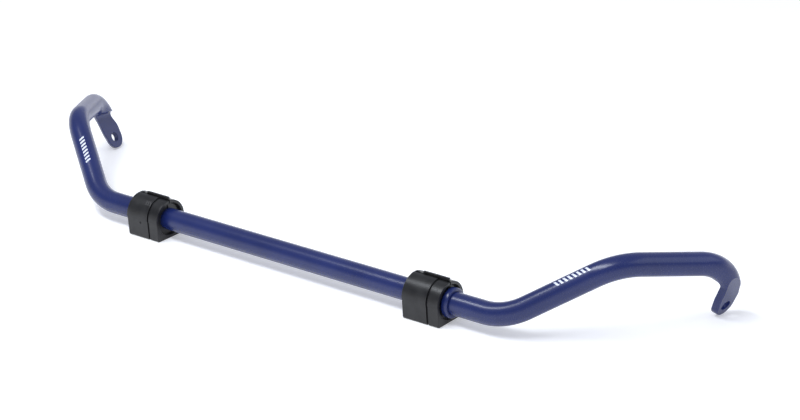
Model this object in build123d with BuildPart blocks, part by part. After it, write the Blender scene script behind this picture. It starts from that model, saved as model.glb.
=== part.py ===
"""Front sway bar with its two split frame bushings and two lock collars.

Frame: millimetres, +Z up.  The origin is the middle of the bar on its straight axis, +X runs along
that axis to the right-hand end, and +Y runs back to the tips of the two arms.
"""
import os

from build123d import *

os.makedirs("parts", exist_ok=True)

# Driving dimensions: the bar
bar_radius = 13.0
corner_1 = (299.5, 0.0, 0.0)          # centreline corners of the right arm, middle to tip
corner_2 = (398.5, 63.0, 63.3)
corner_3 = (475.2, 174.4, 44.2)
arm_end = (464.2, 179.4, 3.8)         # where the round section runs out inside the flat end
bend_radii = (68.0, 69.0, 44.4)       # on the centreline, at corners 1, 2 and 3

# Driving dimensions: the forged flat end
link_hole_centre = (459.4, 180.2, -8.6)
tip_direction = (-0.399, 0.150, -0.905)
outer_normal = (0.890, -0.175, -0.422)
flat_thickness = 7.0
link_hole_radius = 6.1
tip_radius = 15.2
tip_reach = 14.6                      # from the hole to the end of the tip
widest_width = 34.0
widest_distance = 12.0                # from the hole back towards the bend
root_width = 12.0                     # the root lies inside the round section
root_shift = 4.0                      # and leans towards the inside of the bend
root_distance = 38.0
flat_side_radius = 14.0               # where the outline turns at its widest
flat_edge_radius = 1.4
shoulder_distance = 33.0              # hole to the die shoulder on the inner side
shoulder_skew = 12.0                  # the shoulder turns with the bend, degrees
shoulder_radius = 6.0

# Driving dimensions: the bushings
bushing_spacing = 412.0
bushing_slip = -1.0                   # both lie slipped this far along the bar
bushing_length = 48.5
crown_radius = 23.9
side_width = 46.6                     # across the flat sides at the height of the bar axis
seat_width = 44.0                     # the sides draw in towards the seat
seat_depth = 23.2                     # bar axis down to the flat seat
crown_height = 24.4                   # bar axis up to the crown
bore_clearance = 0.05
slit_width = 1.6
flange_length = 13.6                  # the plain collar moulded at the right-hand end
flange_drop = 1.0                     # how much lower its crown is
groove_width = 2.2
groove_depth = 1.8
bottom_corner_radius = 2.0
recess_depth = 4.0
recess_mouth_radius = 19.6
recess_floor_radius = 18.2
lip_width = 2.4                       # a moulded lip stands along the far side of the slit
lip_low = (1.5, 6.0, 0.6)             # from, to (along the bushing) and height of its two lengths
lip_high = (12.0, 46.5, 2.6)

# Driving dimensions: the lock collars
collar_thickness = 4.0
collar_width = 8.0
collar_edge_radius = 1.8
collar_interference = 0.02
collar_end_gap = 1.5                  # collar to recess floor with the bushings centred

half_flat = flat_thickness / 2
sides = (("left", -1), ("right", 1))

flat_end = Plane(origin=link_hole_centre, x_dir=tip_direction, z_dir=outer_normal)


# The blank of one flat end: a round tip about the link hole, widest where the steel spreads most.
with BuildPart() as flat_blank:
    with BuildSketch(flat_end.offset(-half_flat)) as flat_outline:
        with BuildLine():
            Polyline(
                (tip_reach - tip_radius, tip_radius),
                (-widest_distance, widest_width / 2),
                (-root_distance, root_width / 2 - root_shift),
                (-root_distance, -root_width / 2 - root_shift),
                (-widest_distance, -widest_width / 2),
                (tip_reach - tip_radius, -tip_radius),
            )
            ThreePointArc(
                (tip_reach - tip_radius, -tip_radius),
                (tip_reach, 0),
                (tip_reach - tip_radius, tip_radius),
            )
        make_face()
        turns = flat_outline.vertices().filter_by_position(Axis.X, -20, -5)
        fillet(turns, radius=flat_side_radius)
    extrude(amount=flat_thickness)
    fillet(flat_blank.faces().filter_by(flat_end).edges(), radius=flat_edge_radius)
    with Locations(flat_end):
        Hole(radius=link_hole_radius, depth=flat_thickness)


# The bar: the right half is made from the middle outwards, then mirrored.
with BuildPart() as sway_bar:
    with BuildLine() as centreline:
        FilletPolyline((0, 0, 0), corner_1, corner_2, corner_3, arm_end, radius=bend_radii)
    with BuildSketch(Plane.YZ):
        Circle(bar_radius)
    sweep(path=centreline.wire())

    # The outer die face is one plane, which cuts across the outside of the last bend.
    with BuildSketch(flat_end.offset(half_flat)):
        Rectangle(120, 80)
    extrude(amount=40, mode=Mode.SUBTRACT)

    # On the inner side the round section ends in a rounded shoulder above the flat.
    turned_end = flat_end.rotated((0, 0, -shoulder_skew))
    die_side = Plane(origin=link_hole_centre, x_dir=turned_end.x_dir, z_dir=turned_end.y_dir)
    shoulder_foot = (-shoulder_distance + shoulder_radius, half_flat)
    shoulder_face = (-shoulder_distance, half_flat + shoulder_radius)
    with BuildSketch(die_side):
        with BuildLine():
            RadiusArc(shoulder_face, shoulder_foot, shoulder_radius)
            Polyline(shoulder_foot, (shoulder_foot[0], -40), (40, -40), (40, 40))
            Polyline((40, 40), (-shoulder_distance, 40), shoulder_face)
        make_face()
    extrude(amount=40, both=True, mode=Mode.SUBTRACT)
    add(flat_blank.part)
    mirror(about=Plane.YZ)
sway_bar.part.label = "sway_bar"
export_step(sway_bar.part, "parts/sway_bar.step")


def bushing_section(inset, drop):
    """The bushing's section: a round crown on two drafted flat sides above a flat seat."""
    crown_centre = crown_height - crown_radius
    with BuildSketch() as section:
        with BuildLine():
            Polyline(
                (side_width / 2 - inset, crown_centre),
                (seat_width / 2 - inset, -seat_depth),
                (-seat_width / 2 + inset, -seat_depth),
                (-side_width / 2 + inset, crown_centre),
                close=True,
            )
        make_face()
        fillet(section.vertices().group_by(Axis.Y)[0], radius=bottom_corner_radius)
        with BuildLine():
            ThreePointArc(
                (crown_radius - inset, crown_centre),
                (0, crown_height - drop),
                (-crown_radius + inset, crown_centre),
            )
            Line((-crown_radius + inset, crown_centre), (crown_radius - inset, crown_centre))
        make_face()
    return section.sketch


# The bushings: one moulding used twice, the same way round, so the flange is always to the right.
for side_name, side in sides:
    centre_x = side * bushing_spacing / 2 + bushing_slip
    left_face = centre_x - bushing_length / 2
    right_face = centre_x + bushing_length / 2
    flange_start = right_face - flange_length
    groove_start = flange_start - groove_width
    with BuildPart() as bushing:
        stretches = (
            (left_face, groove_start, 0, 0),
            (groove_start, flange_start, groove_depth, flange_drop),
            (flange_start, right_face, 0, flange_drop),
        )
        for start, end, inset, drop in stretches:
            with BuildSketch(Plane.YZ.offset(start)):
                add(bushing_section(inset, drop))
            extrude(amount=end - start)

        # The lip is sunk into the crown, so it joins the moulding all along.
        for start, end, height in (lip_low, lip_high):
            with BuildSketch(Plane.YZ.offset(left_face + start)):
                with Locations((slit_width / 2, crown_height + height)):
                    Rectangle(lip_width, height + 2, align=(Align.MIN, Align.MAX))
            extrude(amount=end - start)

        # The bore, the tapered recess at each end, and the slit from the crown to the bore.
        with BuildSketch(Plane.YZ.offset(left_face)):
            Circle(bar_radius + bore_clearance)
        extrude(amount=bushing_length, mode=Mode.SUBTRACT)
        for end_face, inward in ((left_face, 1), (right_face, -1)):
            with BuildSketch(Plane.YZ.offset(end_face)):
                Circle(recess_mouth_radius)
            with BuildSketch(Plane.YZ.offset(end_face + inward * recess_depth)):
                Circle(recess_floor_radius)
            loft(mode=Mode.SUBTRACT)
        with BuildSketch(Plane.YZ.offset(left_face)):
            with Locations((0, crown_height)):
                Rectangle(slit_width, 2 * (crown_height - bar_radius / 2))
        extrude(amount=bushing_length, mode=Mode.SUBTRACT)
    bushing.part.label = side_name + "_bushing"
    export_step(bushing.part, "parts/" + side_name + "_bushing.step")


# The lock collars: rings pressed on the bar against the outer end of each bushing.
collar_start = bushing_spacing / 2 + bushing_length / 2 - recess_depth + collar_end_gap
for side_name, side in sides:
    collar_middle = side * (collar_start + collar_width / 2)
    with BuildPart() as collar:
        with BuildSketch(Plane.YZ.offset(collar_middle - collar_width / 2)):
            Circle(bar_radius + collar_thickness)
            Circle(bar_radius - collar_interference, mode=Mode.SUBTRACT)
        extrude(amount=collar_width)
        outer_edges = collar.edges().filter_by(GeomType.CIRCLE).sort_by(SortBy.RADIUS)[-2:]
        fillet(outer_edges, radius=collar_edge_radius)
    collar.part.label = side_name + "_lock_collar"
    export_step(collar.part, "parts/" + side_name + "_lock_collar.step")
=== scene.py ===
"""A front sway bar with two split rubber bushings and two lock collars, on a pale studio floor."""
from math import copysign, cos, pi, radians, sin, tan

import bmesh
import bpy
from mathutils import Matrix, Vector


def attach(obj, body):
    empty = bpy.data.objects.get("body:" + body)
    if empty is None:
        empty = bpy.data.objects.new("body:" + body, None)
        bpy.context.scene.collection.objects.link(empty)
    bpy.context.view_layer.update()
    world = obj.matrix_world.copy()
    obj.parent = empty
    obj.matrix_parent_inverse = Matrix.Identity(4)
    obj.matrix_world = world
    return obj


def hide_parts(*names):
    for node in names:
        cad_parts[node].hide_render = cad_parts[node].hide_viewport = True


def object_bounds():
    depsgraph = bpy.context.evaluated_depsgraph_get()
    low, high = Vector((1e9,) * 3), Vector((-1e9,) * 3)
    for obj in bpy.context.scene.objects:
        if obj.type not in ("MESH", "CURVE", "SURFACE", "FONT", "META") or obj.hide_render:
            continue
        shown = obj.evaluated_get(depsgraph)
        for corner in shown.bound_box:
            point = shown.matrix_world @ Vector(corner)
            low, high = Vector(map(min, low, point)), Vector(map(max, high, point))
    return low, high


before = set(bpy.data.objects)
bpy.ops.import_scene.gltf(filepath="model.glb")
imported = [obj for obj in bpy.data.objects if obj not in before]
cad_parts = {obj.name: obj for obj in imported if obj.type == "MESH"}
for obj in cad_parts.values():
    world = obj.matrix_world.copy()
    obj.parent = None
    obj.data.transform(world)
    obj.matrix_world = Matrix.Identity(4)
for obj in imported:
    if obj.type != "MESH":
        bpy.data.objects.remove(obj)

cad_low, cad_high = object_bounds()
scene = bpy.context.scene
mm = 0.001


# The camera stands in front of the right-hand side, a little above the bar, and looks down on it.
# Its long lens, from far away, keeps the near end and the far end in proportion.
camera_data = bpy.data.cameras.new("camera")
camera_data.lens = 93.74
camera_data.sensor_width = 36.0
camera_data.clip_start = 0.05
camera_data.clip_end = 50.0
camera = bpy.data.objects.new("camera", camera_data)
camera.location = (1.4440, -1.6271, 0.9287)
camera.rotation_euler = (radians(67.9737), radians(1.2255), radians(37.7122))
scene.collection.objects.link(camera)
scene.camera = camera


# The studio: a white paper floor under the bar, two soft boxes overhead and a pale room round it.
# The paper is matt and glows a little, so the bar only leaves a soft grey shadow where it rests.
floor_size = 8.0
floor_gap = 0.1 * mm
paper_white = (0.86, 0.86, 0.87)
paper_grain_scale = 60.0
paper_glow = 0.30
bpy.ops.object.select_all(action="DESELECT")
bpy.ops.mesh.primitive_plane_add(size=floor_size, location=(0, 0, cad_low.z - floor_gap))
floor = bpy.context.object
floor.name = "studio_floor"
paper = bpy.data.materials.new("white_paper")
paper.use_nodes = True
paper_nodes = paper.node_tree.nodes
paper_links = paper.node_tree.links
paper_shader = paper_nodes["Principled BSDF"]
paper_shader.inputs["Roughness"].default_value = 0.9
paper_shader.inputs["Specular IOR Level"].default_value = 0.1
paper_place = paper_nodes.new("ShaderNodeTexCoord")
paper_grain = paper_nodes.new("ShaderNodeTexNoise")
paper_grain.inputs["Scale"].default_value = paper_grain_scale
paper_tone = paper_nodes.new("ShaderNodeMix")
paper_tone.data_type = "RGBA"
paper_tone.inputs["A"].default_value = (*paper_white, 1)
paper_tone.inputs["B"].default_value = (*(0.99 * c for c in paper_white), 1)
paper_links.new(paper_place.outputs["Object"], paper_grain.inputs["Vector"])
paper_links.new(paper_grain.outputs["Fac"], paper_tone.inputs["Factor"])
paper_links.new(paper_tone.outputs["Result"], paper_shader.inputs["Base Color"])
paper_shader.inputs["Emission Color"].default_value = (1.0, 1.0, 1.0, 1)
paper_shader.inputs["Emission Strength"].default_value = paper_glow
floor.data.materials.append(paper)

scene.view_settings.view_transform = "Standard"
scene.view_settings.look = "None"

# The room is pale at floor level, darker at mid height and pale again above, and its back is lit.
room_tones = [
    (0.0, (0.90, 0.91, 0.94, 1)),
    (1.0, (0.45, 0.46, 0.50, 1)),
    (0.10, (0.90, 0.91, 0.94, 1)),
    (0.32, (0.28, 0.30, 0.35, 1)),
]
back_wall_span = (0.4, 0.95)
back_wall_gain = 2.1
room = bpy.data.worlds.new("white_room")
room.use_nodes = True
room_nodes = room.node_tree.nodes
room_links = room.node_tree.links
room_way = room_nodes.new("ShaderNodeTexCoord")
room_axes = room_nodes.new("ShaderNodeSeparateXYZ")
room_shade = room_nodes.new("ShaderNodeValToRGB")
room_bands = room_shade.color_ramp.elements
for band, (position, tone) in zip(list(room_bands), room_tones):
    band.position, band.color = position, tone
for position, tone in room_tones[2:]:
    room_bands.new(position).color = tone
back_wall = room_nodes.new("ShaderNodeMapRange")
back_wall.inputs["From Min"].default_value = back_wall_span[0]
back_wall.inputs["From Max"].default_value = back_wall_span[1]
back_wall.inputs["To Min"].default_value = 1.0
back_wall.inputs["To Max"].default_value = back_wall_gain
room_light = room_nodes.new("ShaderNodeVectorMath")
room_light.operation = "SCALE"
room_links.new(room_way.outputs["Generated"], room_axes.inputs["Vector"])
room_links.new(room_axes.outputs["Z"], room_shade.inputs["Fac"])
room_links.new(room_axes.outputs["Y"], back_wall.inputs["Value"])
room_links.new(room_shade.outputs["Color"], room_light.inputs[0])
room_links.new(back_wall.outputs["Result"], room_light.inputs["Scale"])
room_links.new(room_light.outputs["Vector"], room_nodes["Background"].inputs["Color"])
scene.world = room


def soft_box(name, place, aim, width, height, power, tint):
    """A rectangular soft light at place, turned towards aim."""
    lamp = bpy.data.lights.new(name, "AREA")
    lamp.shape = "RECTANGLE"
    lamp.size = width
    lamp.size_y = height
    lamp.energy = power
    lamp.color = tint
    holder = bpy.data.objects.new(name, lamp)
    holder.location = place
    holder.rotation_euler = (Vector(aim) - Vector(place)).to_track_quat("-Z", "Y").to_euler()
    scene.collection.objects.link(holder)


soft_box("overhead_box", (-0.2, -0.85, 2.0), (0.1, 0, 0), 2.0, 0.55, 43.0, (0.90, 0.94, 1.0))
soft_box("back_box", (2.3, 0.8, 2.0), (0.3, 0.1, 0), 3.0, 1.6, 18.0, (0.84, 0.90, 1.0))


# The bar: one length of round spring steel, 26 mm thick, bent hot in three places on each side.
# Both ends are forged flat in a die and pierced for the drop link, and the whole is powder-coated.
bar_radius = 13.0 * mm
corner_points = [
    Vector((0.0, 0.0, 0.0)) * mm,
    Vector((299.5, 0.0, 0.0)) * mm,
    Vector((398.5, 63.0, 63.3)) * mm,
    Vector((475.2, 174.4, 44.2)) * mm,
    Vector((464.2, 179.4, 3.8)) * mm,
]
bend_radii = [68.0 * mm, 69.0 * mm, 44.4 * mm]
bend_steps = [20, 20, 40]
bar_sides = 80

hole_centre = Vector((459.4, 180.2, -8.6)) * mm
outer_normal = Vector((0.890, -0.175, -0.422)).normalized()
tip_way = Vector((-0.399, 0.150, -0.905))
tip_way = (tip_way - tip_way.dot(outer_normal) * outer_normal).normalized()
width_way = outer_normal.cross(tip_way)
half_flat = 3.5 * mm
shoulder_distance = 33.0 * mm
shoulder_skew = radians(12.0)
shoulder_radius = 6.0 * mm
tip_radius = 15.2 * mm
tip_centre = -0.6 * mm
link_hole_radius = 6.1 * mm
# Millimetres along the flat from the hole, its width there, and how far that leans inwards.
flat_stations = [
    (-21.0, 30.0, -0.8),
    (-17.0, 31.6, -0.4),
    (-12.5, 33.2, 0.0),
    (-7.5, 32.6, 0.0),
    (-3.0, 31.3, 0.0),
    (tip_centre / mm, 2 * tip_radius / mm, 0.0),
]
tip_angles = (0, 8, 16, 24, 32, 40, 48, 56, 64, 72, 79, 85)
end_reach = 75.0 * mm
weld_gap = 0.25 * mm
cut_tolerance = 0.001 * mm
near = 0.01 * mm


def only_select(picked):
    """Selects what picked() says of the mesh in edit mode, as faces, and nothing else."""
    bpy.ops.mesh.select_mode(type="FACE")
    bpy.ops.mesh.select_all(action="DESELECT")
    work = bmesh.from_edit_mesh(bpy.context.object.data)
    for face in filter(picked, list(work.faces)):
        face.select_set(True)
    bmesh.update_edit_mesh(bpy.context.object.data)


def only_select_edges(picked):
    """Selects what picked() says of the mesh in edit mode, as edges, and nothing else."""
    bpy.ops.mesh.select_mode(type="EDGE")
    bpy.ops.mesh.select_all(action="DESELECT")
    work = bmesh.from_edit_mesh(bpy.context.object.data)
    for edge in filter(picked, list(work.edges)):
        edge.select_set(True)
    bmesh.update_edit_mesh(bpy.context.object.data)


def middle(part):
    """The middle of an edge."""
    return (part.verts[0].co + part.verts[1].co) / 2


def select_alone(piece):
    """Makes one object the only selected and active one."""
    bpy.ops.object.select_all(action="DESELECT")
    piece.select_set(True)
    bpy.context.view_layer.objects.active = piece


def cut_away(piece, cutter):
    """Takes the cutter's space out of the piece, and throws the cutter away."""
    select_alone(piece)
    boolean = piece.modifiers.new("cut", "BOOLEAN")
    boolean.operation = "DIFFERENCE"
    boolean.solver = "EXACT"
    boolean.object = cutter
    bpy.ops.object.modifier_apply(modifier=boolean.name)
    bpy.data.objects.remove(cutter)


def eased(p, q, r, s, t):
    """A smooth curve's value at t between q and r, where p comes before them and s after."""
    rise = t * (r - p) / 2
    return q + rise + t**2 * (p - 2.5 * q + 2 * r - s / 2) + t**3 * (1.5 * (q - r) + (s - p) / 2)


# A disc at the middle of the bar is drawn out along the straight run, and spun through each bend.
bpy.ops.object.select_all(action="DESELECT")
bpy.ops.mesh.primitive_circle_add(
    vertices=bar_sides, radius=bar_radius, fill_type="NGON", rotation=(0, pi / 2, 0)
)
bar = bpy.context.object
bar.name = "powder_coated_bar"
bpy.ops.object.transform_apply(location=True, rotation=True, scale=True)
bpy.ops.object.mode_set(mode="EDIT")
bpy.ops.mesh.select_all(action="SELECT")
reached = corner_points[0]
for before, corner, after, radius, steps in zip(
    corner_points, corner_points[1:], corner_points[2:], bend_radii, bend_steps
):
    way_in = (corner - before).normalized()
    way_out = (after - corner).normalized()
    turn = way_in.angle(way_out)
    bend_start = corner - way_in * radius * tan(turn / 2)
    inwards = (way_out - way_out.dot(way_in) * way_in).normalized()
    bpy.ops.mesh.extrude_region_move(TRANSFORM_OT_translate={"value": bend_start - reached})
    bpy.ops.mesh.spin(
        steps=steps,
        angle=-turn,
        center=bend_start + inwards * radius,
        axis=way_in.cross(way_out).normalized(),
    )
    reached = corner + way_out * radius * tan(turn / 2)
bpy.ops.mesh.extrude_region_move(TRANSFORM_OT_translate={"value": corner_points[4] - reached})
bpy.ops.mesh.select_all(action="SELECT")
bpy.ops.mesh.normals_make_consistent(inside=False)

# The outer die face is one plane, which cuts across the outside of the last bend.
only_select(lambda face: (face.calc_center_median() - hole_centre).length < end_reach)
bpy.ops.mesh.bisect(
    plane_co=hole_centre + outer_normal * half_flat,
    plane_no=outer_normal,
    use_fill=True,
    clear_outer=True,
    threshold=cut_tolerance,
)
bpy.ops.object.mode_set(mode="OBJECT")

# The inner die presses the steel down to a rounded shoulder, turned a little with the bend.
skewed_tip = Matrix.Rotation(-shoulder_skew, 3, outer_normal) @ tip_way
skewed_width = outer_normal.cross(skewed_tip)
die_turn = Matrix((skewed_tip, -outer_normal, skewed_width)).transposed()
die_length, die_depth, die_width = 80 * mm, 40 * mm, 90 * mm
die_middle = (
    hole_centre
    + skewed_tip * (die_length / 2 - shoulder_distance)
    - outer_normal * (half_flat + die_depth / 2)
)
bpy.ops.object.select_all(action="DESELECT")
bpy.ops.mesh.primitive_cube_add(size=1, location=die_middle, rotation=die_turn.to_euler())
die = bpy.context.object
die.scale = (die_length, die_depth, die_width)
bpy.ops.object.transform_apply(location=True, rotation=True, scale=True)
bpy.ops.object.mode_set(mode="EDIT")
foot_line = hole_centre - skewed_tip * shoulder_distance - outer_normal * half_flat
only_select_edges(
    lambda edge: abs((middle(edge) - foot_line).dot(skewed_tip)) < mm
    and abs((middle(edge) - foot_line).dot(outer_normal)) < mm
)
bpy.ops.mesh.bevel(offset=shoulder_radius, segments=8, profile=0.5, affect="EDGES")
bpy.ops.object.mode_set(mode="OBJECT")
cut_away(bar, die)

# What is left of the round section is a slab, which is drawn out to the flat end.
slab_start = shoulder_distance - shoulder_radius - 0.4 * mm
foot = hole_centre - skewed_tip * slab_start
bpy.ops.object.mode_set(mode="EDIT")
only_select(lambda face: (face.calc_center_median() - hole_centre).length < end_reach)
bpy.ops.mesh.bisect(
    plane_co=foot, plane_no=skewed_tip, use_fill=True, clear_outer=True, threshold=cut_tolerance
)
only_select(lambda face: all(abs((v.co - foot).dot(skewed_tip)) < 0.02 * mm for v in face.verts))
bpy.ops.mesh.remove_doubles(threshold=weld_gap)
outline = []
for before, start, end, after in zip(
    flat_stations[:1] + flat_stations,
    flat_stations,
    flat_stations[1:],
    flat_stations[2:] + flat_stations[-1:],
):
    for t in (0, 1 / 3, 2 / 3):
        outline.append(tuple(eased(*four, t) for four in zip(before, start, end, after)))
for angle in map(radians, tip_angles):
    outline.append(
        ((tip_centre + tip_radius * sin(angle)) / mm, 2 * tip_radius * cos(angle) / mm, 0.0)
    )
for distance, width, shift in outline:
    bpy.ops.mesh.extrude_region_move(TRANSFORM_OT_translate={"value": (0, 0, 0)})
    work = bmesh.from_edit_mesh(bar.data)
    section = [v for v in work.verts if v.select]
    across = [(v.co - hole_centre).dot(width_way) for v in section]
    left, right = min(across), max(across)
    for vert, place in zip(section, across):
        out = (vert.co - hole_centre).dot(outer_normal)
        if half_flat - abs(out) < weld_gap:
            out = copysign(half_flat, out)
        moved = (place - (left + right) / 2) * width * mm / (right - left) + shift * mm
        vert.co = hole_centre + tip_way * distance * mm + width_way * moved + outer_normal * out
    bmesh.update_edit_mesh(bar.data)
bpy.ops.object.mode_set(mode="OBJECT")

# The link hole is pierced through the flat.
bpy.ops.object.select_all(action="DESELECT")
bpy.ops.mesh.primitive_cylinder_add(
    vertices=72,
    radius=link_hole_radius,
    depth=30 * mm,
    location=hole_centre,
    rotation=outer_normal.to_track_quat("Z", "Y").to_euler(),
)
cut_away(bar, bpy.context.object)

# The die faces are made one flat face each, and every forged edge is then rounded a little.
select_alone(bar)
bpy.ops.object.mode_set(mode="EDIT")


def in_die_face(face, side):
    """True for a face that lies in the outer die plane (side 1) or in the inner one (side -1)."""
    return all(
        abs((v.co - hole_centre).dot(outer_normal) * side - half_flat) < 0.03 * mm
        and (v.co - hole_centre).length < end_reach
        for v in face.verts
    )


only_select(lambda face: in_die_face(face, 1) or in_die_face(face, -1))
bpy.ops.mesh.dissolve_limited(angle_limit=radians(1.0))
only_select(lambda face: (face.calc_center_median() - hole_centre).length < end_reach)
bpy.ops.mesh.remove_doubles(threshold=weld_gap)
only_select(lambda face: all(abs(v.co.x) < near for v in face.verts))
bpy.ops.mesh.delete(type="ONLY_FACE")
bpy.ops.object.mode_set(mode="OBJECT")

# The rim of the flat is rounded the most. The crease across the bend stays crisp on the outer face.
rim_rounding = 1.0 * mm
lesser_rounding = 0.45
rim_start = -24.0 * mm
sharp_edge = radians(25)
work = bmesh.new()
work.from_mesh(bar.data)
softness = work.edges.layers.float.new("bevel_weight_edge")
for edge in work.edges:
    if len(edge.link_faces) != 2:
        continue
    place = middle(edge) - hole_centre
    if place.length > end_reach or not edge.is_convex or edge.calc_face_angle(0) < sharp_edge:
        continue
    along = place.dot(tip_way)
    from_hole = (place - place.dot(outer_normal) * outer_normal).length
    on_outer_face = place.dot(outer_normal) > half_flat - 0.05 * mm
    if from_hole < link_hole_radius + 0.3 * mm:
        edge[softness] = lesser_rounding
    elif along > rim_start:
        edge[softness] = 1.0
    elif not on_outer_face:
        edge[softness] = lesser_rounding
work.to_mesh(bar.data)
work.free()
bevel = bar.modifiers.new("soft_edges", "BEVEL")
bevel.limit_method = "WEIGHT"
bevel.width = rim_rounding
bevel.segments = 3
bevel.use_clamp_overlap = False
bpy.ops.object.modifier_apply(modifier=bevel.name)

# The left half is the right half's mirror image.
mirror = bar.modifiers.new("left_half", "MIRROR")
mirror.merge_threshold = near
bpy.ops.object.modifier_apply(modifier=mirror.name)
bpy.ops.object.mode_set(mode="EDIT")
bpy.ops.mesh.select_all(action="SELECT")
bpy.ops.mesh.normals_make_consistent(inside=False)
bpy.ops.object.mode_set(mode="OBJECT")
bpy.ops.object.shade_smooth_by_angle(angle=radians(35))
weighted = bar.modifiers.new("even_shading", "WEIGHTED_NORMAL")
weighted.keep_sharp = True
bpy.ops.object.modifier_apply(modifier=weighted.name)


def noise(tree, place, scale, detail):
    """Soft noise over the piece's own coordinates."""
    made = tree.nodes.new("ShaderNodeTexNoise")
    made.inputs["Scale"].default_value = scale
    made.inputs["Detail"].default_value = detail
    tree.links.new(place, made.inputs["Vector"])
    return made.outputs["Fac"]


def uneven_surface(name, tones, clouds, grain, relief, gloss, gloss_noise=None):
    """A material whose tone, relief and gloss each vary a little over the piece.

    clouds, grain and gloss_noise are the scale and detail of a noise, and gloss follows the clouds
    unless it has its own. relief is the bump's strength and distance.
    """
    made = bpy.data.materials.new(name)
    made.use_nodes = True
    tree = made.node_tree
    shader = tree.nodes["Principled BSDF"]
    place = tree.nodes.new("ShaderNodeTexCoord").outputs["Object"]

    cloud_pattern = noise(tree, place, *clouds)
    tone = tree.nodes.new("ShaderNodeValToRGB")
    for stop, (position, colour) in zip(list(tone.color_ramp.elements), tones):
        stop.position, stop.color = position, colour
    tree.links.new(cloud_pattern, tone.inputs["Fac"])
    tree.links.new(tone.outputs["Color"], shader.inputs["Base Color"])

    bump = tree.nodes.new("ShaderNodeBump")
    bump.inputs["Strength"].default_value, bump.inputs["Distance"].default_value = relief
    tree.links.new(noise(tree, place, *grain), bump.inputs["Height"])
    tree.links.new(bump.outputs["Normal"], shader.inputs["Normal"])

    spread = tree.nodes.new("ShaderNodeMapRange")
    spread.inputs["To Min"].default_value, spread.inputs["To Max"].default_value = gloss
    gloss_pattern = noise(tree, place, *gloss_noise) if gloss_noise else cloud_pattern
    tree.links.new(gloss_pattern, spread.inputs["Value"])
    tree.links.new(spread.outputs["Result"], shader.inputs["Roughness"])
    return made


def powder_coat(name):
    """Blue powder coat with a slight orange peel."""
    return uneven_surface(
        name,
        tones=[(0.3, (0.008, 0.016, 0.092, 1)), (0.7, (0.012, 0.022, 0.116, 1))],
        clouds=(22.0, 3.0),
        grain=(420.0, 2.0),
        relief=(0.16, 0.25 * mm),
        gloss=(0.21, 0.31),
        gloss_noise=(1400.0, 2.0),
    )


def worked_out(tree, kind, operation, *values):
    """Adds a maths node that works on sockets or plain values, and gives its result."""
    made = tree.nodes.new("ShaderNode" + kind)
    made.operation = operation
    for socket, value in zip(made.inputs, values):
        if isinstance(value, bpy.types.NodeSocket):
            tree.links.new(value, socket)
        else:
            socket.default_value = value
    return made.outputs["Vector" if operation == "SUBTRACT" else "Value"]


def print_dashes(coat, centre, along, outward):
    """Prints a row of slanted white dashes along an arm, on the side of it that faces outward."""
    tree = coat.node_tree
    base = tree.nodes["Principled BSDF"].inputs["Base Color"]
    place = tree.nodes["Texture Coordinate"].outputs["Object"]
    from_centre = worked_out(tree, "VectorMath", "SUBTRACT", place, centre)
    lengthwise, sideways, height = (
        worked_out(tree, "VectorMath", "DOT_PRODUCT", from_centre, way)
        for way in (along, outward.cross(along).normalized(), outward)
    )
    slanted = worked_out(tree, "Math", "MULTIPLY_ADD", sideways, dash_slant, lengthwise)
    from_middle = worked_out(tree, "Math", "ABSOLUTE", slanted)
    from_line = worked_out(tree, "Math", "ABSOLUTE", sideways)
    pitches = worked_out(tree, "Math", "DIVIDE", slanted, dash_pitch)
    part_of_pitch = worked_out(tree, "Math", "FRACT", pitches)
    ink = worked_out(tree, "Math", "LESS_THAN", from_middle, dash_row_length / 2)
    for test in (
        worked_out(tree, "Math", "LESS_THAN", from_line, dash_height / 2),
        worked_out(tree, "Math", "GREATER_THAN", height, -dash_reach_down),
        worked_out(tree, "Math", "LESS_THAN", part_of_pitch, dash_share),
    ):
        ink = worked_out(tree, "Math", "MULTIPLY", ink, test)
    inked = tree.nodes.new("ShaderNodeMix")
    inked.data_type = "RGBA"
    inked.inputs["B"].default_value = dash_white
    tree.links.new(ink, inked.inputs["Factor"])
    tree.links.new(base.links[0].from_socket, inked.inputs["A"])
    tree.links.new(inked.outputs["Result"], base)


dash_pitch = 5.25 * mm
dash_share = 0.5
dash_slant = 0.55
dash_height = 6.5 * mm
dash_row_length = 42.0 * mm
dash_reach_down = 4.0 * mm
dash_white = (0.72, 0.76, 0.86, 1)
arm_way = (corner_points[2] - corner_points[1]).normalized()
left_arm_way = Vector((-arm_way.x, arm_way.y, arm_way.z))
right_mark = (Vector((362.3, 34.0, 52.5)) * mm, arm_way, Vector((-0.03, -0.69, 0.73)))
left_mark = (Vector((-350.6, 27.6, 45.2)) * mm, left_arm_way, Vector((0.18, -0.54, 0.82)))
dashed_coat = powder_coat("blue_powder_coat_with_dashes")
for mark in (right_mark, left_mark):
    print_dashes(dashed_coat, *mark)
bar.data.materials.append(dashed_coat)
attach(bar, "bar")
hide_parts("sway_bar")


# The bushings: black rubber mouldings with a round crown on two flat sides, slit along the top so
# that each is opened and slipped over the bar. A groove parts the plain flange from the long body,
# which the frame bracket holds, and the bore opens into a recess at both ends.
bushing_length = 48.5 * mm
bushing_middles = {"left": -207.0 * mm, "right": 205.0 * mm}
crown_radius = 23.9 * mm
crown_height = 24.4 * mm
crown_centre = crown_height - crown_radius
side_half_width = 23.3 * mm
seat_half_width = 22.0 * mm
seat_depth = 23.2 * mm
seat_corner_radius = 2.0 * mm
groove_start = 32.7 * mm
groove_width = 2.2 * mm
groove_depth = 1.8 * mm
groove_shallow = 0.5 * mm             # at the seat and below the flange's crown
flange_drop = 1.0 * mm
bore_radius = 13.05 * mm
recess_mouth_radius = 19.6 * mm
recess_floor_radius = 18.2 * mm
recess_depth = 4.0 * mm
slit_width = 1.6 * mm
lips = [(1.5 * mm, 6.0 * mm, 0.6 * mm), (12.0 * mm, 46.5 * mm, 2.6 * mm)]
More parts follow.
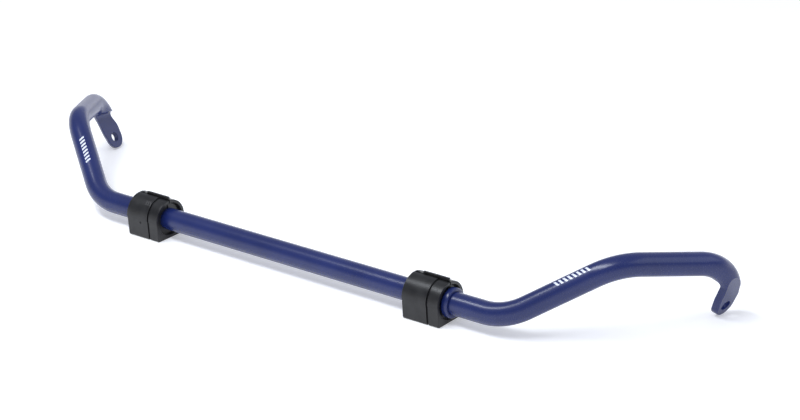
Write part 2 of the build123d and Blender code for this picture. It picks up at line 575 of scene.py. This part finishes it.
lip_width = 2.4 * mm
lip_root = 2.6 * mm                   # how deep the lips are sunk into the crown
lip_rounding = 0.4 * mm
crown_ledge = 0.3 * mm                # a mould line steps in between the crown and the sides
end_rounding = 0.7 * mm
groove_rounding = 0.3 * mm
left_face = bushing_middles["left"] - bushing_length / 2


def draw_out(step, scale=(1, 1, 1), about=(0, 0, 0)):
    """Extrudes the selected loop along the bar by step, then scales its new end about a point."""
    bpy.ops.mesh.extrude_region_move(TRANSFORM_OT_translate={"value": (step, 0, 0)})
    bpy.ops.transform.resize(value=scale, center_override=about)


bpy.ops.object.select_all(action="DESELECT")
bpy.ops.mesh.primitive_circle_add(
    vertices=96, radius=crown_radius, location=(left_face, 0, crown_centre), rotation=(0, pi / 2, 0)
)
bushing = bpy.context.object
bpy.ops.object.transform_apply(location=True, rotation=True, scale=True)
bpy.ops.object.mode_set(mode="EDIT")
bpy.ops.mesh.select_mode(type="VERT")
bpy.ops.mesh.select_all(action="DESELECT")
work = bmesh.from_edit_mesh(bushing.data)
for vert in work.verts:
    vert.select_set(vert.co.z < crown_centre - near)
bmesh.update_edit_mesh(bushing.data)
bpy.ops.mesh.delete(type="VERT")
work = bmesh.from_edit_mesh(bushing.data)
for vert in work.verts:
    vert.select_set(vert.co.z < crown_centre + near)
bmesh.update_edit_mesh(bushing.data)
side_corners = [(side_half_width, crown_centre - crown_ledge), (seat_half_width, -seat_depth)]
for half_width, height in side_corners:
    work = bmesh.from_edit_mesh(bushing.data)
    now = [v.co.copy() for v in work.verts if v.select][0]
    bpy.ops.mesh.extrude_vertices_move(TRANSFORM_OT_translate={"value": (0, 0, height - now.z)})
    bpy.ops.transform.resize(
        value=(1, half_width / abs(now.y), 1), center_override=(left_face, 0, height)
    )
bpy.ops.mesh.edge_face_add()
bpy.ops.mesh.bevel(offset=seat_corner_radius, segments=5, affect="VERTICES")
bpy.ops.mesh.select_all(action="SELECT")
bpy.ops.mesh.edge_face_add()
groove_scale = (crown_radius - groove_depth) / crown_radius
whole_height = crown_height + seat_depth
flange_height = whole_height - flange_drop
groove_height = flange_height - 2 * groove_shallow
in_scale = groove_height / whole_height
in_centre = (left_face, 0, (groove_shallow - seat_depth * (1 - in_scale)) / (1 - in_scale))
out_scale = flange_height / groove_height
groove_middle = (left_face, 0, (crown_height - flange_drop - seat_depth) / 2)
draw_out(groove_start)
draw_out(0, (1, groove_scale, in_scale), in_centre)
draw_out(groove_width)
draw_out(0, (1, 1 / groove_scale, out_scale), groove_middle)
draw_out(bushing_length - groove_start - groove_width)

bpy.ops.mesh.select_all(action="SELECT")
bpy.ops.mesh.normals_make_consistent(inside=False)
for rounding, distances in (
    (end_rounding, (0, bushing_length)),
    (groove_rounding, (groove_start, groove_start + groove_width)),
):
    only_select_edges(
        lambda edge: edge.is_convex
        and edge.calc_face_angle(0) > radians(50)
        and any(
            all(abs(vert.co.x - left_face - distance) < near for vert in edge.verts)
            for distance in distances
        )
    )
    bpy.ops.mesh.bevel(offset=rounding, segments=3, profile=0.5, affect="EDGES")
bpy.ops.object.mode_set(mode="OBJECT")

# A turned core leaves the bore and the tapered recess at each end.
overrun = 1.0 * mm
mouth_round = 0.6 * mm
floor_scale = recess_floor_radius / recess_mouth_radius
bore_scale = bore_radius / recess_floor_radius
bpy.ops.object.select_all(action="DESELECT")
bpy.ops.mesh.primitive_circle_add(
    vertices=80,
    radius=recess_mouth_radius + mouth_round,
    fill_type="NGON",
    location=(left_face - overrun, 0, 0),
    rotation=(0, pi / 2, 0),
)
core = bpy.context.object
bpy.ops.object.transform_apply(location=True, rotation=True, scale=True)
bpy.ops.object.mode_set(mode="EDIT")
bpy.ops.mesh.select_all(action="SELECT")
mouth_scale = 1 + mouth_round / recess_mouth_radius
draw_out(overrun)
draw_out(mouth_round, (1, 1 / mouth_scale, 1 / mouth_scale))
draw_out(recess_depth - mouth_round, (1, floor_scale, floor_scale))
draw_out(0, (1, bore_scale, bore_scale))
draw_out(bushing_length - 2 * recess_depth)
draw_out(0, (1, 1 / bore_scale, 1 / bore_scale))
draw_out(recess_depth - mouth_round, (1, 1 / floor_scale, 1 / floor_scale))
draw_out(mouth_round, (1, mouth_scale, mouth_scale))
draw_out(overrun)
bpy.ops.mesh.select_all(action="SELECT")
bpy.ops.mesh.normals_make_consistent(inside=False)
bpy.ops.object.mode_set(mode="OBJECT")
cut_away(bushing, core)


def box_piece(low, high):
    """A box between two corners, as an object of its own."""
    low, high = Vector(low), Vector(high)
    bpy.ops.object.select_all(action="DESELECT")
    bpy.ops.mesh.primitive_cube_add(size=1, location=(low + high) / 2)
    made = bpy.context.object
    made.scale = high - low
    bpy.ops.object.transform_apply(location=True, rotation=True, scale=True)
    return made


def add_on(piece, extra):
    """Joins the extra to the piece as one closed skin."""
    select_alone(piece)
    boolean = piece.modifiers.new("join", "BOOLEAN")
    boolean.operation = "UNION"
    boolean.solver = "EXACT"
    boolean.object = extra
    bpy.ops.object.modifier_apply(modifier=boolean.name)
    bpy.data.objects.remove(extra)


for start, end, height in lips:
    lip = box_piece(
        (left_face + start, 0, crown_height - lip_root),
        (left_face + end, slit_width / 2 + lip_width, crown_height + height),
    )
    bpy.ops.object.mode_set(mode="EDIT")
    bpy.ops.mesh.select_all(action="SELECT")
    bpy.ops.mesh.bevel(offset=lip_rounding, segments=2, profile=0.5, affect="EDGES")
    bpy.ops.object.mode_set(mode="OBJECT")
    add_on(bushing, lip)
slit = box_piece(
    (left_face - mm, -slit_width / 2, bore_radius / 2),
    (left_face + bushing_length + mm, slit_width / 2, crown_height + 4 * mm),
)
cut_away(bushing, slit)

rubber = uneven_surface(
    "black_moulded_rubber",
    tones=[(0.35, (0.008, 0.008, 0.009, 1)), (0.70, (0.016, 0.016, 0.017, 1))],
    clouds=(95.0, 4.0),
    grain=(900.0, 3.0),
    relief=(0.22, 0.15 * mm),
    gloss=(0.26, 0.40),
)
rubber.node_tree.nodes["Principled BSDF"].inputs["Specular IOR Level"].default_value = 0.42

right_bushing = bushing.copy()
right_bushing.data = bushing.data.copy()
right_bushing.data.transform(
    Matrix.Translation((bushing_middles["right"] - bushing_middles["left"], 0, 0))
)
scene.collection.objects.link(right_bushing)

# Only the left one has a shallow ejector pin mark on its front, and three short ribs moulded in
# relief beside the groove.
pin_mark = Vector((-209.9, -22.95, -3.1)) * mm
pin_radius = 1.5 * mm
pin_length = 1.2 * mm
rib_middles = [Vector((x, -13.6, 19.35)) * mm for x in (-206.8, -203.6, -200.4)]
rib_size = (1.3 * mm, 7.0 * mm, 1.6 * mm)
rib_turn = (radians(34), 0, radians(20))
rib_rounding = 0.3 * mm
bpy.ops.object.select_all(action="DESELECT")
bpy.ops.mesh.primitive_cylinder_add(
    vertices=32, radius=pin_radius, depth=pin_length, location=pin_mark, rotation=(pi / 2, 0, 0)
)
cut_away(bushing, bpy.context.object)
for rib_middle in rib_middles:
    bpy.ops.object.select_all(action="DESELECT")
    bpy.ops.mesh.primitive_cube_add(size=1, location=rib_middle, rotation=rib_turn)
    rib = bpy.context.object
    rib.scale = rib_size
    bpy.ops.object.transform_apply(location=True, rotation=True, scale=True)
    bpy.ops.object.mode_set(mode="EDIT")
    bpy.ops.mesh.select_all(action="SELECT")
    bpy.ops.mesh.bevel(offset=rib_rounding, segments=2, profile=0.5, affect="EDGES")
    bpy.ops.object.mode_set(mode="OBJECT")
    add_on(bushing, rib)

for side, piece in (("left", bushing), ("right", right_bushing)):
    select_alone(piece)
    bpy.ops.object.mode_set(mode="EDIT")
    bpy.ops.mesh.select_all(action="SELECT")
    bpy.ops.mesh.remove_doubles(threshold=0.002 * mm)
    bpy.ops.object.mode_set(mode="OBJECT")
    bpy.ops.object.shade_smooth_by_angle(angle=radians(32))
    weighted = piece.modifiers.new("even_shading", "WEIGHTED_NORMAL")
    weighted.keep_sharp = True
    bpy.ops.object.modifier_apply(modifier=weighted.name)
    piece.data.materials.append(rubber)
    piece.name = side + "_split_bushing"
    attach(piece, side + "_bushing")
    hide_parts(side + "_bushing")


# The lock collars: rings pressed on the bar before it is coated, one outboard of each bushing, so
# that the bar can't wander sideways. The coat runs over them and leaves a fine line at the bar.
collar_thickness = 4.0 * mm
collar_width = 8.0 * mm
collar_start = 227.75 * mm
collar_edge_radius = 2.2 * mm
collar_bore_rounding = 0.5 * mm
collar_outer_radius = bar_radius + collar_thickness
collar_bore_radius = bar_radius - 0.02 * mm
bpy.ops.object.select_all(action="DESELECT")
bpy.ops.mesh.primitive_circle_add(
    vertices=96,
    radius=collar_bore_radius,
    location=(collar_start, 0, 0),
    rotation=(0, pi / 2, 0),
)
collar = bpy.context.object
bpy.ops.object.transform_apply(location=True, rotation=True, scale=True)
bpy.ops.object.mode_set(mode="EDIT")
bpy.ops.mesh.select_all(action="SELECT")
collar_scale = collar_outer_radius / collar_bore_radius
draw_out(0, (1, collar_scale, collar_scale))
draw_out(collar_width)
draw_out(0, (1, 1 / collar_scale, 1 / collar_scale))
only_select_edges(lambda edge: len(edge.link_faces) == 1)
bpy.ops.mesh.bridge_edge_loops()
bpy.ops.mesh.select_all(action="SELECT")
bpy.ops.mesh.normals_make_consistent(inside=False)
for radius, rounding, steps in (
    (collar_outer_radius, collar_edge_radius, 6),
    (collar_bore_radius, collar_bore_rounding, 3),
):
    only_select_edges(
        lambda edge: abs(middle(edge).yz.length - radius) < 0.2 * mm
        and abs(edge.verts[0].co.x - edge.verts[1].co.x) < near
    )
    bpy.ops.mesh.bevel(offset=rounding, segments=steps, profile=0.5, affect="EDGES")
bpy.ops.object.mode_set(mode="OBJECT")
bpy.ops.object.shade_smooth_by_angle(angle=radians(35))
collar.data.materials.append(powder_coat("blue_powder_coat_on_collar"))
left_collar = collar.copy()
left_collar.data = collar.data.copy()
left_collar.data.transform(Matrix.Translation((-2 * collar_start - collar_width, 0, 0)))
scene.collection.objects.link(left_collar)
for side, piece in (("right", collar), ("left", left_collar)):
    piece.name = side + "_coated_collar"
    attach(piece, "bar")
    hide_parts(side + "_lock_collar")
